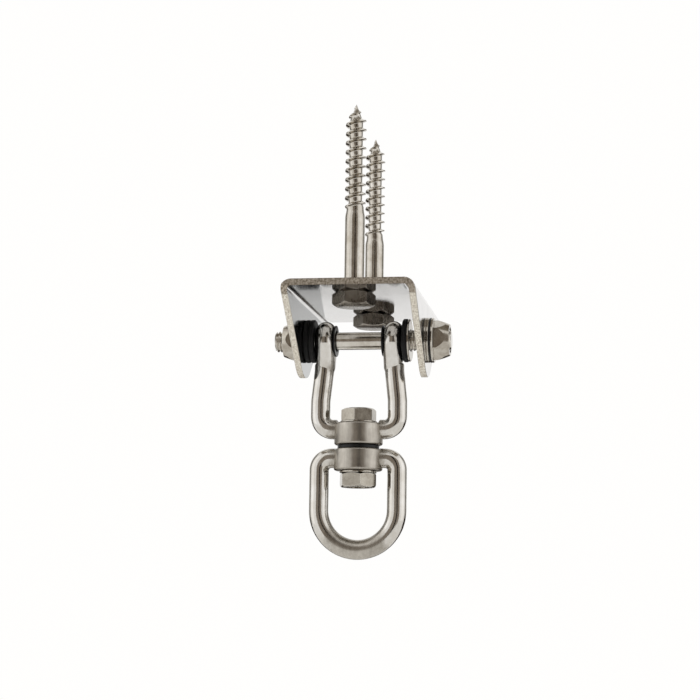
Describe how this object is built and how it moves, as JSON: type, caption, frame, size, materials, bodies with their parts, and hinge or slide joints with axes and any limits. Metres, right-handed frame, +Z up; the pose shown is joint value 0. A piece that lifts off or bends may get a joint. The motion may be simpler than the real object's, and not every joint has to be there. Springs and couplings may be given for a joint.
{
  "type": "anchor swivel",
  "caption": "Ceiling anchor swivel: a U bracket on wood screws holds an axle, a jaw swings on the axle, and a ring eye spins under the jaw.",
  "frame": {"origin": "centre of the bracket's top face, which lies against the beam", "axes": "+Z up, out of the top face along the lag screws; +X along the axle, towards the end with two steel washers; +Y towards the rear lag screw"},
  "size_m": [0.082, 0.1, 0.2049],
  "materials": {
    "polished_steel": "polished stainless steel, bright, fine hairline wear",
    "screw_steel": "bright stainless steel, as rolled and tumbled",
    "nut_steel": "satin stainless steel, turned faces",
    "nylon": "black nylon, satin",
    "rubber": "black rubber, matt"
  },
  "bodies": {
    "bracket": {"bracket": "polished_steel", "lag_screw_front": "screw_steel", "lag_screw_rear": "screw_steel", "axle_stud": "screw_steel", "lock_nut_left": "nut_steel", "lock_nut_left_insert": "nylon", "lock_nut_right": "nut_steel", "lock_nut_right_insert": "nylon", "steel_washer_inner": "nut_steel", "nylon_washer": "nylon", "steel_washer_outer": "nut_steel", "rubber_washer_left_outer": "rubber", "rubber_washer_left_inner": "rubber", "rubber_washer_right": "rubber", "thin_washer_right": "nut_steel"},
    "jaw": {"jaw": "polished_steel", "bushing_left": "nylon", "bushing_right": "nylon", "swivel_pin": "nut_steel", "pin_washer_upper": "nut_steel", "pin_washer_lower": "nut_steel", "swivel_nut": "nut_steel"},
    "eye": {"eye": "polished_steel", "thrust_washer": "nylon"}
  },
  "joints": [
    {"name": "jaw_swing", "type": "hinge", "parent": "bracket", "child": "jaw", "pos_m": [-0.0018, 0, -0.0203], "axis": [1, 0, 0], "range_deg": [-90, 90]},
    {"name": "eye_spin", "type": "hinge", "parent": "jaw", "child": "eye", "pos_m": [-0.0018, 0, -0.0755], "axis": [0, 0, 1], "continuous": true}
  ]
}
